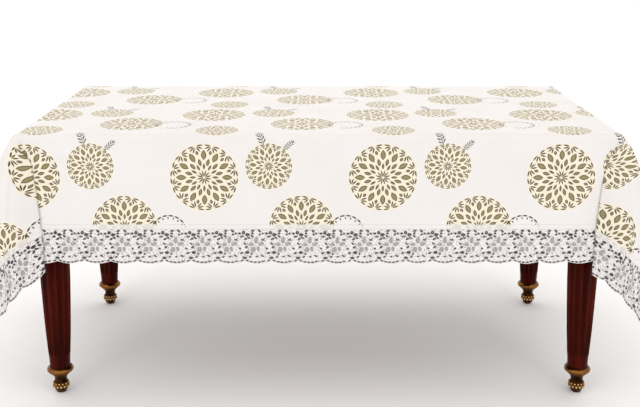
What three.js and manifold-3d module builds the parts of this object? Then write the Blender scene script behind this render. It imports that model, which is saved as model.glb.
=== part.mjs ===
// A rectangular dining table dressed with a lace-edged oilcloth tablecloth.
// Millimetres, +Z up. The origin is on the floor under the middle of the table;
// +X runs along the length of the table and the front faces -Y.

import * as THREE from "three";
import { mergeVertices } from "three/addons/utils/BufferGeometryUtils.js";
import Module from "manifold-3d";

const wasm = await Module();
wasm.setup();

// ---------------------------------------------------------------- driving sizes

const tableLength = 1582;
const tableWidth = 820;
const tableHeight = 750;
const topThickness = 28;
const topCornerRadius = 25;
const topEdgeChamfer = 6;

const clothLength = 2286;
const clothWidth = 1524;
const clothThickness = 1.2;
const laceWidth = 98;
const laceThickness = 1.2;
const tapeWidth = 14;
const tapeThickness = 0.8;
const creaseInset = 50; // how far in from the table corner a corner crease meets the hem
const cornerReach = 88; // how far out the hanging corner of the cloth stands, each way
const cornerBelly = 52; // how far the corner fold bows out halfway down
const cornerGathers = 0.025; // share of a corner's length that its bow takes up

const legInset = 66; // leg axis to the edge of the top, both ways
const legBlockWidth = 84;
const legBlockHeight = 120;
const legRadius = 41.5;
const ankleRadius = 27.5;
const fluteCount = 12;
const fluteDepth = 4.5;
const tenonRadius = 18;

const apronHeight = 78;
const apronThickness = 22;
const apronSetback = 2; // behind the face of the leg block

const footHeight = 57;
const footTipRadius = 12.5;
const footRingRadius = 23.5;
const footNeckRadius = 16.5;
const collarHeight = 21;
const collarRadius = 36.5;
const studRadius = 5;
const studLength = 28;

const cornerBlockThickness = 24;
const cornerBlockHeight = 50;
const cornerBlockClearance = 6; // from the inner corner of the leg block
const boltRadius = 4;
const boltInLeg = 34;
const boltPastBlock = 16;
const nutRadius = 8;
const nutThickness = 7;
const screwRadius = 2.5;
const screwHeadRadius = 5;
const screwHeadHeight = 3;
const screwInTop = 16;
const screwSpread = 42; // each screw from the middle of its corner block

const seatGap = 0.3; // between pieces that touch
const boreClearance = 0.4; // round a fastener or a tenon, on the radius

// ---------------------------------------------------------------- worked-out sizes

const topUnderside = tableHeight - topThickness;
const legTop = topUnderside - seatGap;
const shaftFoot = footHeight + seatGap + collarHeight + seatGap;
const halfLength = tableLength / 2;
const halfWidth = tableWidth / 2;
const overhangX = (clothLength - tableLength) / 2;
const overhangY = (clothWidth - tableWidth) / 2;
const clothOffset = seatGap + clothThickness / 2; // middle of the cloth from the wood

// ---------------------------------------------------------------- materials

const material = (color, roughness, metalness = 0) =>
  new THREE.MeshStandardMaterial({ color, roughness, metalness, side: THREE.DoubleSide });

const oilcloth = material(0xf3ede6, 0.35);
const lace = material(0xf4f2f2, 0.6);
const tape = material(0xf6f2ee, 0.45);
const mahogany = material(0x4a120a, 0.3);
const underWood = material(0x8a6038, 0.7);
const antiqueBrass = material(0xa8752f, 0.35, 0.9);
const zincSteel = material(0xa9adb0, 0.4, 0.9);

// ---------------------------------------------------------------- solids and nodes

const table = new THREE.Group();

function addNode(name, geometry, piece) {
  const mesh = new THREE.Mesh(geometry, piece);
  mesh.name = name;
  table.add(mesh);
}

function toSolid(geometry) {
  const bare = geometry.index ? geometry.toNonIndexed() : geometry.clone();
  bare.deleteAttribute("normal");
  bare.deleteAttribute("uv");
  const merged = mergeVertices(bare, 1e-3);
  return new wasm.Manifold(
    new wasm.Mesh({
      numProp: 3,
      vertProperties: merged.attributes.position.array,
      triVerts: new Uint32Array(merged.index.array),
    }),
  );
}

function toGeometry(solid) {
  const mesh = solid.getMesh();
  const geometry = new THREE.BufferGeometry();
  geometry.setAttribute("position", new THREE.BufferAttribute(mesh.vertProperties, 3));
  geometry.setIndex(new THREE.BufferAttribute(mesh.triVerts, 1));
  return geometry;
}

function box(x0, x1, y0, y1, z0, z1) {
  const geometry = new THREE.BoxGeometry(x1 - x0, y1 - y0, z1 - z0);
  return geometry.translate((x0 + x1) / 2, (y0 + y1) / 2, (z0 + z1) / 2);
}

// A turned solid about the Z axis, from [radius, height] pairs.
function turned(profile, sides = 20) {
  const points = profile.map(([radius, height]) => new THREE.Vector2(radius, height));
  return new THREE.LatheGeometry(points, sides).rotateX(Math.PI / 2);
}

// A rod from z0 to z1 about the Z axis.
function rod(radius, z0, z1, sides = 16) {
  const geometry = new THREE.CylinderGeometry(radius, radius, z1 - z0, sides);
  return geometry.rotateX(Math.PI / 2).translate(0, 0, (z0 + z1) / 2);
}

// ---------------------------------------------------------------- table top

function roundedRectangle(halfX, halfY, radius) {
  const shape = new THREE.Shape();
  shape.absarc(halfX - radius, halfY - radius, radius, 0, Math.PI / 2);
  shape.absarc(radius - halfX, halfY - radius, radius, Math.PI / 2, Math.PI);
  shape.absarc(radius - halfX, radius - halfY, radius, Math.PI, 1.5 * Math.PI);
  shape.absarc(halfX - radius, radius - halfY, radius, 1.5 * Math.PI, 2 * Math.PI);
  return shape;
}

function tableTop() {
  const board = new THREE.ExtrudeGeometry(roundedRectangle(halfLength, halfWidth, topCornerRadius), {
    depth: topThickness - 2 * topEdgeChamfer,
    bevelThickness: topEdgeChamfer,
    bevelSize: topEdgeChamfer,
    bevelOffset: -topEdgeChamfer,
    bevelSegments: 1,
    curveSegments: 6,
  });
  return board.translate(0, 0, topUnderside + topEdgeChamfer);
}

// ---------------------------------------------------------------- legs

// Levels of a leg's turning: [height, radius, share of the full flute depth].
const shaftHeight = legTop - legBlockHeight - shaftFoot;
const shaftShape = [
  [0, ankleRadius, 0],
  [0.045, ankleRadius + 1.2, 0],
  [0.062, ankleRadius + 1.8, 0],
  [0.085, ankleRadius + 2.8, 0.9],
  [0.2, ankleRadius + 6.6, 1],
  [0.33, legRadius - 4.4, 1],
  [0.48, legRadius - 1.6, 1],
  [0.7, legRadius, 1],
  [0.92, legRadius - 1, 1],
  [0.955, legRadius - 1.5, 0],
  [0.968, legRadius - 4, 0],
  [0.98, legRadius, 0],
  [1, legRadius, 0],
];

function flutedShaft() {
  const sides = fluteCount * 4;
  const fluteProfile = [0, 0.72, 1, 0.72];
  const levels = shaftShape.map(([share, radius, flute]) => {
    const z = shaftFoot + share * shaftHeight;
    return Array.from({ length: sides }, (_, i) => {
      const angle = (2 * Math.PI * i) / sides;
      const r = radius - fluteDepth * flute * fluteProfile[i % 4];
      return [r * Math.cos(angle), r * Math.sin(angle), z];
    });
  });
  const last = levels.length - 1;
  const points = [...levels.flat(), [0, 0, levels[0][0][2]], [0, 0, levels[last][0][2]]];
  const faces = [];
  for (let i = 0; i < sides; i++) {
    const next = (i + 1) % sides;
    for (let j = 0; j < last; j++) {
      const low = j * sides;
      const high = low + sides;
      faces.push(low + i, low + next, high + next, low + i, high + next, high + i);
    }
    faces.push(points.length - 2, next, i);
    faces.push(points.length - 1, last * sides + i, last * sides + next);
  }
  return meshOf(points, faces);
}

function meshOf(points, faces) {
  const geometry = new THREE.BufferGeometry();
  geometry.setAttribute("position", new THREE.Float32BufferAttribute(points.flat(), 3));
  geometry.setIndex(faces);
  return geometry;
}

// One leg standing on its own axis: square block, fluted shaft and a tenon for the collar.
function legSolid() {
  const half = legBlockWidth / 2;
  const block = toSolid(box(-half, half, -half, half, legTop - legBlockHeight, legTop));
  const shaft = toSolid(flutedShaft());
  const tenon = toSolid(rod(tenonRadius, footHeight + seatGap, shaftFoot + 1, 24));
  const studBore = toSolid(rod(studRadius + boreClearance, 0, footHeight + studLength + 2));
  return block.add(shaft).add(tenon).subtract(studBore);
}

// ---------------------------------------------------------------- brass feet

function footGeometry() {
  return turned([
    [0, 0],
    [footTipRadius, 0],
    [footTipRadius + 1.5, 2.5],
    [footNeckRadius + 1, 9],
    [footRingRadius - 1.5, 12.5],
    [footRingRadius, 17],
    [footRingRadius, 27],
    [footRingRadius - 1.5, 31.5],
    [footNeckRadius, 34],
    [footNeckRadius, 41],
    [footNeckRadius + 2.5, 48],
    [ankleRadius - 2, 54],
    [ankleRadius, footHeight],
    [studRadius, footHeight],
    [studRadius, footHeight + studLength],
    [0, footHeight + studLength],
  ]);
}

function collarGeometry() {
  const bottom = footHeight + seatGap;
  const bore = tenonRadius + boreClearance;
  const middle = bottom + collarHeight / 2;
  const bulge = [-1, -0.62, 0, 0.62, 1].map((share) => [
    collarRadius - 6 * share * share,
    middle + (share * collarHeight) / 2,
  ]);
  return turned([[bore, bottom], ...bulge, [bore, bottom + collarHeight], [bore, bottom]], 24);
}

// ---------------------------------------------------------------- corner blocks and fasteners

// The four corners of the table, as signs of X and Y.
const corners = {
  front_left: [-1, -1],
  front_right: [1, -1],
  back_right: [1, 1],
  back_left: [-1, 1],
};

const legAxisX = halfLength - legInset;
const legAxisY = halfWidth - legInset;
const legInnerX = legAxisX - legBlockWidth / 2;
const legInnerY = legAxisY - legBlockWidth / 2;
const apronInnerX = legAxisX + legBlockWidth / 2 - apronSetback - apronThickness;
const apronInnerY = legAxisY + legBlockWidth / 2 - apronSetback - apronThickness;
const boltHeight = legTop - cornerBlockHeight / 2;

// Along the diagonal of a corner, measured inwards from the leg block's inner corner.
const blockOuterFace = cornerBlockClearance;
const blockInnerFace = cornerBlockClearance + cornerBlockThickness;

// A point on the inward diagonal of the +X +Y corner, moved aside along its block.
function onDiagonal(inwards, aside) {
  const x = legInnerX - (inwards + aside) / Math.SQRT2;
  const y = legInnerY - (inwards - aside) / Math.SQRT2;
  return [x, y];
}

// Turns a rod that stands on Z into one that lies on the inward diagonal.
function layOnDiagonal(geometry) {
  geometry.rotateY(-Math.PI / 2).rotateZ(Math.PI / 4);
  return geometry.translate(legInnerX, legInnerY, boltHeight);
}

function boltGeometry() {
  return layOnDiagonal(rod(boltRadius, -boltInLeg, blockInnerFace + boltPastBlock, 12));
}

function boltBore() {
  const reach = blockInnerFace + 1;
  return toSolid(layOnDiagonal(rod(boltRadius + boreClearance, -boltInLeg - 1, reach, 12)));
}

function nutGeometry() {
  const bore = boltRadius + boreClearance;
  const seat = blockInnerFace + seatGap;
  const flange = nutRadius + 3;
  return layOnDiagonal(
    turned(
      [
        [bore, seat],
        [flange, seat],
        [flange, seat + 1.5],
        [nutRadius, seat + 2],
        [nutRadius, seat + nutThickness],
        [bore, seat + nutThickness],
        [bore, seat],
      ],
      12,
    ),
  );
}

const screwPlaces = [-screwSpread, screwSpread].map((aside) =>
  onDiagonal((blockOuterFace + blockInnerFace) / 2, aside),
);

function screwGeometry([x, y]) {
  const head = legTop - cornerBlockHeight - seatGap;
  return turned(
    [
      [0, head - screwHeadHeight],
      [screwHeadRadius * 0.7, head - screwHeadHeight],
      [screwHeadRadius, head - screwHeadHeight / 2],
      [screwHeadRadius, head],
      [screwRadius, head],
      [screwRadius, topUnderside + screwInTop - 3],
      [0, topUnderside + screwInTop],
    ],
    10,
  ).translate(x, y, 0);
}

function screwBore([x, y]) {
  const low = legTop - cornerBlockHeight - 1;
  const bore = rod(screwRadius + boreClearance, low, topUnderside + screwInTop + 1, 10);
  return toSolid(bore.translate(x, y, 0));
}

// A block across the inside of a corner, its ends flat against both aprons.
function cornerBlockSolid() {
  const corner = legInnerX + legInnerY;
  const outer = corner - blockOuterFace * Math.SQRT2;
  const inner = corner - blockInnerFace * Math.SQRT2;
  const faceX = apronInnerX - seatGap;
  const faceY = apronInnerY - seatGap;
  const shape = new THREE.Shape([
    new THREE.Vector2(faceX, outer - faceX),
    new THREE.Vector2(outer - faceY, faceY),
    new THREE.Vector2(inner - faceY, faceY),
    new THREE.Vector2(faceX, inner - faceX),
  ]);
  const block = new THREE.ExtrudeGeometry(shape, { depth: cornerBlockHeight, bevelEnabled: false });
  let solid = toSolid(block.translate(0, 0, legTop - cornerBlockHeight)).subtract(boltBore());
  for (const place of screwPlaces) solid = solid.subtract(screwBore(place));
  return solid;
}

// Mirrors a piece of the +X +Y corner into another corner.
function intoCorner(solid, [signX, signY]) {
  return solid.scale([signX, signY, 1]);
}

// ---------------------------------------------------------------- aprons

function addAprons() {
  const low = legTop - apronHeight;
  const outerX = apronInnerX + apronThickness;
  const outerY = apronInnerY + apronThickness;
  const endX = legInnerX - seatGap;
  const endY = legInnerY - seatGap;
  addNode("apron_front", box(-endX, endX, -outerY, -apronInnerY, low, legTop), mahogany);
  addNode("apron_back", box(-endX, endX, apronInnerY, outerY, low, legTop), mahogany);
  addNode("apron_left", box(-outerX, -apronInnerX, -endY, endY, low, legTop), mahogany);
  addNode("apron_right", box(apronInnerX, outerX, -endY, endY, low, legTop), mahogany);
}

// ---------------------------------------------------------------- draped cloth

// The cloth hangs from the rounded outline of the table top in columns that run
// from the table edge to the hem. Each column has its top point, its hem point and
// the way and distance that its middle bows out of the straight line between them.

const frontColumns = 6;
const sideColumns = 4;
const cornerColumns = 14;
const mitreHalfGap = 0.0015; // share of a corner, so that two lace strips part at the tip
const topOutline = topCornerRadius + clothOffset;

// Hem of a corner seen from above: outwards along X, outwards along Y.
const cornerHem = new THREE.CatmullRomCurve3(
  [
    [-creaseInset, 0],
    [-0.1 * cornerReach, 0.32 * cornerReach],
    [0.42 * cornerReach, 0.7 * cornerReach],
    [cornerReach, cornerReach],
    [0.7 * cornerReach, 0.42 * cornerReach],
    [0.32 * cornerReach, -0.1 * cornerReach],
    [0, -creaseInset],
  ].map(([x, y]) => new THREE.Vector3(x, y, 0)),
  false,
  "centripetal",
);

// A column of the +X -Y corner in the corner's own outward axes; share runs from the
// front crease (0) over the hanging tip (0.5) to the end crease (1).
function cornerColumn(share) {
  const turn = (share * Math.PI) / 2;
  const top = [
    topOutline * (Math.sin(turn) - 1),
    topOutline * (Math.cos(turn) - 1),
  ];
  const nearTip = 1 - Math.abs(2 * share - 1);
  const along = Math.pow(nearTip, 0.75);
  const flat =
    share < 0.5
      ? [(overhangX + creaseInset) * along - creaseInset, overhangY]
      : [overhangX, (overhangY + creaseInset) * along - creaseInset];
  const run = Math.hypot(flat[0] - top[0], flat[1] - top[1]);
  const bow = Math.sin((Math.PI * nearTip) / 2) ** 2;
  const length = run * (1 - cornerGathers * bow);
  const foot = cornerHem.getPoint(share);
  const aside = Math.hypot(foot.x - top[0], foot.y - top[1]);
  const laceShare = Math.hypot(
    Math.min(laceWidth, (laceWidth * Math.max(flat[0], 0)) / overhangX),
    Math.min(laceWidth, (laceWidth * Math.max(flat[1], 0)) / overhangY),
  );
  return {
    top,
    hem: [foot.x, foot.y],
    drop: Math.sqrt(length * length - aside * aside),
    belly: cornerBelly * bow,
    laceShare: laceShare / run,
    length,
    tip: nearTip > 1 - 3 * mitreHalfGap,
  };
}

function placeCorner(column, [signX, signY]) {
  const place = ([x, y], z) =>
    new THREE.Vector3(
      signX * (halfLength + clothOffset + x),
      signY * (halfWidth + clothOffset + y),
      z,
    );
  const edge = tableHeight + clothOffset;
  return {
    top: place(column.top, edge),
    hem: place(column.hem, edge - column.drop),
    outwards: new THREE.Vector3(signX, signY, 0).normalize(),
    belly: column.belly,
    laceShare: column.laceShare,
    length: column.length,
    tip: column.tip,
    inset: arcInset(column.top, [signX, signY]),
  };
}

// The way from a point on the top's rounded corner towards the middle of that corner.
function arcInset([x, y], [signX, signY]) {
  return new THREE.Vector3(-signX * (x + topOutline), -signY * (y + topOutline), 0).normalize();
}

// Columns of one straight side, between its two corner creases, ends left out.
function straightColumns(count, from, to, side) {
  return Array.from({ length: count - 1 }, (_, i) => {
    const share = (i + 1) / count;
    const lace = side.y !== 0 ? laceWidth / overhangY : laceWidth / overhangX;
    return {
      top: new THREE.Vector3().lerpVectors(from.top, to.top, share),
      hem: new THREE.Vector3().lerpVectors(from.hem, to.hem, share),
      outwards: side,
      belly: 0,
      laceShare: lace,
      length: from.length,
      inset: side.clone().negate(),
    };
  });
}

function cornerFan(name) {
  const signs = corners[name];
  const shares = [];
  for (let i = 0; i <= cornerColumns; i++) {
    if (i !== cornerColumns / 2) shares.push(i / cornerColumns);
    else shares.push(0.5 - mitreHalfGap, 0.5 + mitreHalfGap);
  }
  const fan = shares.map((share) => placeCorner(cornerColumn(share), signs));
  return signs[0] * signs[1] < 0 ? fan : fan.reverse();
}

// All columns anticlockwise from above, starting at the tip of the front left corner,
// with the columns that belong to each side.
function allColumns() {
  const half = cornerColumns / 2 + 1;
  const fans = ["front_left", "front_right", "back_right", "back_left"].map(cornerFan);
  const sides = [
    ["front", frontColumns, new THREE.Vector3(0, -1, 0)],
    ["right", sideColumns, new THREE.Vector3(1, 0, 0)],
    ["back", frontColumns, new THREE.Vector3(0, 1, 0)],
    ["left", sideColumns, new THREE.Vector3(-1, 0, 0)],
  ];
  return sides.map(([name, count, outwards], i) => {
    const before = fans[i].slice(half);
    const after = fans[(i + 1) % 4].slice(0, half);
    const between = straightColumns(count, before[before.length - 1], after[0], outwards);
    return { name, columns: [...before, ...between, ...after] };
  });
}

// The middle surface of the cloth on a column, a share of the way from edge to hem.
function onColumn(column, share) {
  const point = new THREE.Vector3().lerpVectors(column.top, column.hem, share);
  const bow = 4 * share * (1 - share) * column.belly;
  return point.addScaledVector(column.outwards, bow);
}

// Rows of a strip, for a whole ring of columns, with the cloth's outward normals.
function ringRows(ring, sharesOf) {
  const at = (i) => ring[(i + ring.length) % ring.length];
  // The two columns at a tip look past each other, so that they share one normal.
  const beside = (i, step) => (ring[i].tip && at(i + step).tip ? at(i + 2 * step) : at(i + step));
  return ring.map((column, i) =>
    sharesOf(column).map((share) => {
      const point = onColumn(column, share);
      const across = onColumn(beside(i, 1), share).sub(onColumn(beside(i, -1), share));
      const down = onColumn(column, share + 0.01).sub(onColumn(column, share - 0.01));
      return { point, normal: across.cross(down).negate().normalize() };
    }),
  );
}

const pushed = ({ point, normal }, distance) =>
  point.clone().addScaledVector(normal, distance).toArray();

// A closed strip of cloth from a grid of points with normals, ends and edges included.
function stripGeometry(grid, innerFace, outerFace) {
  const rows = grid[0].length;
  const points = [];
  for (const column of grid) {
    for (const spot of column) points.push(pushed(spot, outerFace));
    for (const spot of column) points.push(pushed(spot, innerFace));
  }
  const faces = [];
  const quad = (a, b, c, d) => faces.push(a, b, c, a, c, d);
  const outer = (i, j) => i * 2 * rows + j;
  const inner = (i, j) => i * 2 * rows + rows + j;
  const last = grid.length - 1;
  for (let i = 0; i < last; i++) {
    for (let j = 0; j < rows - 1; j++) {
      quad(outer(i, j), outer(i, j + 1), outer(i + 1, j + 1), outer(i + 1, j));
      quad(inner(i, j), inner(i + 1, j), inner(i + 1, j + 1), inner(i, j + 1));
    }
    quad(outer(i, 0), outer(i + 1, 0), inner(i + 1, 0), inner(i, 0));
    quad(outer(i + 1, rows - 1), outer(i, rows - 1), inner(i, rows - 1), inner(i + 1, rows - 1));
  }
  for (let j = 0; j < rows - 1; j++) {
    quad(outer(0, j + 1), outer(0, j), inner(0, j), inner(0, j + 1));
    quad(outer(last, j), outer(last, j + 1), inner(last, j + 1), inner(last, j));
  }
  return meshOf(points, faces);
}

// The plain middle of the cloth: flat on the table top, over its edge and down to the lace.
function panelGeometry(ring) {
  const skirt = ringRows(ring, (column) => {
    const first = topEdgeChamfer / column.length;
    const last = 1 - column.laceShare - seatGap / column.length;
    return [first, first + 0.22 * (last - first), first + 0.5 * (last - first), last];
  });
  const rows = skirt[0].length + 1;
  const up = new THREE.Vector3(0, 0, 1);
  const points = [];
  ring.forEach((column, i) => {
    const shoulder = column.top.clone().addScaledVector(column.inset, topEdgeChamfer);
    const spots = [{ point: shoulder, normal: up }, ...skirt[i]];
    for (const spot of spots) points.push(pushed(spot, clothThickness / 2));
    for (const spot of spots) points.push(pushed(spot, -clothThickness / 2));
  });
  const edge = tableHeight + clothOffset;
  const centreOuter = points.push([0, 0, edge + clothThickness / 2]) - 1;
  const centreInner = points.push([0, 0, edge - clothThickness / 2]) - 1;
  const faces = [];
  const quad = (a, b, c, d) => faces.push(a, b, c, a, c, d);
  ring.forEach((_, i) => {
    const next = (i + 1) % ring.length;
    const outer = (k, j) => k * 2 * rows + j;
    const inner = (k, j) => k * 2 * rows + rows + j;
    for (let j = 0; j < rows - 1; j++) {
      quad(outer(i, j), outer(i, j + 1), outer(next, j + 1), outer(next, j));
      quad(inner(i, j), inner(next, j), inner(next, j + 1), inner(i, j + 1));
    }
    const low = rows - 1;
    quad(outer(i, low), inner(i, low), inner(next, low), outer(next, low));
    faces.push(centreOuter, outer(i, 0), outer(next, 0));
    faces.push(centreInner, inner(next, 0), inner(i, 0));
  });
  return meshOf(points, faces);
}

function addCloth() {
  const sides = allColumns();
  const ring = sides.flatMap((side) => side.columns);
  addNode("printed_cloth", panelGeometry(ring), oilcloth);
  const laceRows = ringRows(ring, (column) => [1 - column.laceShare, 1 - column.laceShare / 2, 1]);
  const tapeRows = ringRows(ring, (column) => {
    const joint = 1 - column.laceShare;
    return [joint - (0.8 * tapeWidth) / column.length, joint + (0.2 * tapeWidth) / column.length];
  });
  const tapeInner = Math.max(clothThickness, laceThickness) / 2 + seatGap;
  let first = 0;
  for (const { name, columns } of sides) {
    const range = [first, first + columns.length];
    const laceGrid = laceRows.slice(...range);
    const tapeGrid = tapeRows.slice(...range);
    addNode(`lace_${name}`, stripGeometry(laceGrid, -laceThickness / 2, laceThickness / 2), lace);
    addNode(
      `hem_tape_${name}`,
      stripGeometry(tapeGrid, tapeInner, tapeInner + tapeThickness),
      tape,
    );
    first += columns.length;
  }
}

// ---------------------------------------------------------------- assembly

function addTable() {
  let top = toSolid(tableTop());
  const standing = legSolid().translate([legAxisX, legAxisY, 0]).subtract(boltBore());
  const block = cornerBlockSolid();
  for (const [name, signs] of Object.entries(corners)) {
    const inCorner = (solid) => toGeometry(intoCorner(solid, signs));
    const onLeg = (geometry) => toSolid(geometry.translate(legAxisX, legAxisY, 0));
    addNode(`leg_${name}`, inCorner(standing), mahogany);
    addNode(`brass_collar_${name}`, inCorner(onLeg(collarGeometry())), antiqueBrass);
    addNode(`brass_foot_${name}`, inCorner(onLeg(footGeometry())), antiqueBrass);
    addNode(`corner_block_${name}`, inCorner(block), underWood);
    addNode(`hanger_bolt_${name}`, inCorner(toSolid(boltGeometry())), zincSteel);
    addNode(`bolt_nut_${name}`, inCorner(toSolid(nutGeometry())), zincSteel);
    screwPlaces.forEach((place, i) => {
      addNode(`top_screw_${name}_${i + 1}`, inCorner(toSolid(screwGeometry(place))), zincSteel);
      top = top.subtract(intoCorner(screwBore(place), signs));
    });
  }
  addNode("table_top", toGeometry(top), mahogany);
  addAprons();
}

addTable();
addCloth();

export default table;
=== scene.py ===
"""The visual model of a dressed table: printed oilcloth with a lace edge over fluted legs."""

import math

import bpy
import numpy as np
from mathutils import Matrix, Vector
from mathutils.geometry import delaunay_2d_cdt


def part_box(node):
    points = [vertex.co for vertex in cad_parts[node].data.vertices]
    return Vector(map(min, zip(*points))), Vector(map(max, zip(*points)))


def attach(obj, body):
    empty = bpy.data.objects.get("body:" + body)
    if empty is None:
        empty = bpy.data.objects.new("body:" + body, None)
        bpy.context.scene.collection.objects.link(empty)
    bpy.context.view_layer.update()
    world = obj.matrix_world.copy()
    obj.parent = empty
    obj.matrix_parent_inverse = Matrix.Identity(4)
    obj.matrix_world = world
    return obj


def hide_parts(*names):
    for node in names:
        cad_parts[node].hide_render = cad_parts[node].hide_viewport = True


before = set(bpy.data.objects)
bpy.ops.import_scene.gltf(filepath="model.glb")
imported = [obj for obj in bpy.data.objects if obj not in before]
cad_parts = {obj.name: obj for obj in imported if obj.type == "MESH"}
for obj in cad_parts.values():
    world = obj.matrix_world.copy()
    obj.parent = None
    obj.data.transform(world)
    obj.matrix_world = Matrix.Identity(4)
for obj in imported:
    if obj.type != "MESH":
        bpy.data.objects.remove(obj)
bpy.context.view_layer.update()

# ---------------------------------------------------------------- driving sizes, in metres

TOP_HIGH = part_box("table_top")[1]
HALF_L, HALF_W, TOP_Z = TOP_HIGH.x, TOP_HIGH.y, TOP_HIGH.z
CLOTH_L = 2.286
CLOTH_W = 1.524
HALF_U, HALF_V = CLOTH_L / 2, CLOTH_W / 2
OVERHANG = HALF_U - HALF_L
LACE_WIDTH = 0.098
TAPE_WIDTH = 0.014
LIFT = 0.0009  # the cloth's middle surface above the table
CORNER_R = 0.0259  # the cloth's own corner radius in plan
EDGE_R = 0.007  # the rounding of the cloth over the table's edge

# The hem in plan around one corner, from the straight skirt to the tip, in millimetres:
# how far along the hem, then how far outside the table's corner, along the side and away from it.
# The skirt runs on past the corner, folds back under itself and then leaves as a flare.
HEM_LINE = [
    (0, -50, 0.0), (40, -10, 0.5), (75, 25, 1.0), (80, 30, 1.3), (85, 26, 2.6), (125, -13, 3.4),
    (167, -55, 4.6), (172, -61, 6.0), (177, -57, 9.0), (205, -34, 24), (250, -4, 42),
    (300, 20, 53), (343, 38, 60), (402, 62, 62),
]
HEM_STEP = 0.0005  # the hem curve is sampled this closely
CORNER_START = 0.05  # the corner's folds start this far inside the table's corner
CORNER_SPAN = OVERHANG + CORNER_START
SHARES = 200  # steps down each fold line of a corner
# How quickly a fold line leaves the table's edge, by hem coordinate: 0 is straight, 5 bends at once.
BEND_AT, BEND = (0.0, 0.03, 0.08, 0.20, 0.30, 0.36, 0.402), (0.01, 0.01, 2.3, 2.3, 2.6, 3.6, 5.0)
FOLD_FROM, FOLD_OVER = 0.005, 0.085  # the hidden fold opens out above this depth, and over this much
ROUNDING = 0.36  # how softly the unfolded cloth turns from the skirt to the ridge
PLEAT_DEEP, PLEAT_STEP = 0.0030, 0.040  # the small pleats near the flare's tip
PLEAT_FROM, PLEAT_OVER = 0.28, 0.06  # where along the hem they start
STRETCH = 1.045  # the vinyl gives a little along the flare
STRETCH_FROM, STRETCH_OVER = 0.08, 0.09  # where along the hem that starts
WAVE_DEEP, CREASE_DEEP = 0.0035, 0.0030  # how far a skirt's waves and creases stand out
FRONT_COLUMNS, END_COLUMNS = 58, 30  # the columns of half a straight skirt

PRINT_STEP_U, PRINT_STEP_V = 0.468, 0.395  # the print's repeat
PRINT_U, PRINT_V = 0.168, -0.525  # the middle of one large medallion

# ---------------------------------------------------------------- the drape


def smooth(x):
    x = np.clip(x, 0, 1)
    return x * x * (3 - 2 * x)


def inset(d):
    """How far inside the vertical skirt a point of cloth d past the table's edge is."""
    bend = -((EDGE_R - d) ** 2) / (4 * EDGE_R)
    return np.where(d >= EDGE_R, 0.0, np.where(d <= -EDGE_R, d, bend))


def drop(d):
    """How far below the table's top a point of cloth d past its edge is."""
    bend = (d + EDGE_R) ** 2 / (4 * EDGE_R)
    return np.where(d >= EDGE_R, d, np.where(d <= -EDGE_R, 0.0, bend))


def hem_table():
    """HEM_LINE as a smooth curve, sampled finely, with its mirror image past the tip."""
    t, x, y = (np.array(c) / 1000 for c in zip(*HEM_LINE))
    t[-1] = CORNER_SPAN
    mirrored = 2 * t[-1] - t[-2:-4:-1]
    t, x, y = (
        np.concatenate([t, mirrored]),
        np.concatenate([x, y[-2:-4:-1]]),
        np.concatenate([y, x[-2:-4:-1]]),
    )
    fine = np.arange(0, CORNER_SPAN + HEM_STEP, HEM_STEP)
    return fine, hermite(fine, t, x), hermite(fine, t, y)


def hermite(at, t, value):
    """A smooth curve through the values that never overshoots between two of them."""
    step = np.diff(t)
    slope = np.diff(value) / step
    tangent = np.zeros_like(value)
    same = slope[:-1] * slope[1:] > 0
    mean = 2 * slope[:-1] * slope[1:] / np.where(same, slope[:-1] + slope[1:], 1)
    tangent[1:-1] = np.where(same, mean, 0)
    tangent[0], tangent[-1] = slope[0], slope[-1]
    i = np.clip(np.searchsorted(t, at, side="right") - 1, 0, len(step) - 1)
    s = (at - t[i]) / step[i]
    h = step[i]
    return (
        value[i] * (1 + 2 * s) * (1 - s) ** 2
        + tangent[i] * h * s * (1 - s) ** 2
        + value[i + 1] * s * s * (3 - 2 * s)
        + tangent[i + 1] * h * s * s * (s - 1)
    )


HEM_T, HEM_X, HEM_Y = hem_table()


def fold_start(t):
    """Where the fold line that ends at t on the hem leaves the table's rounded corner, in flat cloth."""
    turn = math.pi / 4 * np.clip(t / CORNER_SPAN, 0, 1)
    return CORNER_R * (np.sin(turn) - 1), CORNER_R * (np.cos(turn) - 1)


def fold_line_of(p, q):
    """The hem coordinate of the fold line through a point of flat cloth, by halving."""
    low = np.full(p.shape, -1e-4)
    high = np.full(p.shape, CORNER_SPAN + 1e-4)
    for _ in range(26):
        t = (low + high) / 2
        start_x, start_y = fold_start(t)
        across = (t - CORNER_START - start_x) * (q - start_y) - (OVERHANG - start_y) * (p - start_x)
        low = np.where(across < 0, t, low)
        high = np.where(across < 0, high, t)
    return np.clip((low + high) / 2, 0, CORNER_SPAN)


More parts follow.
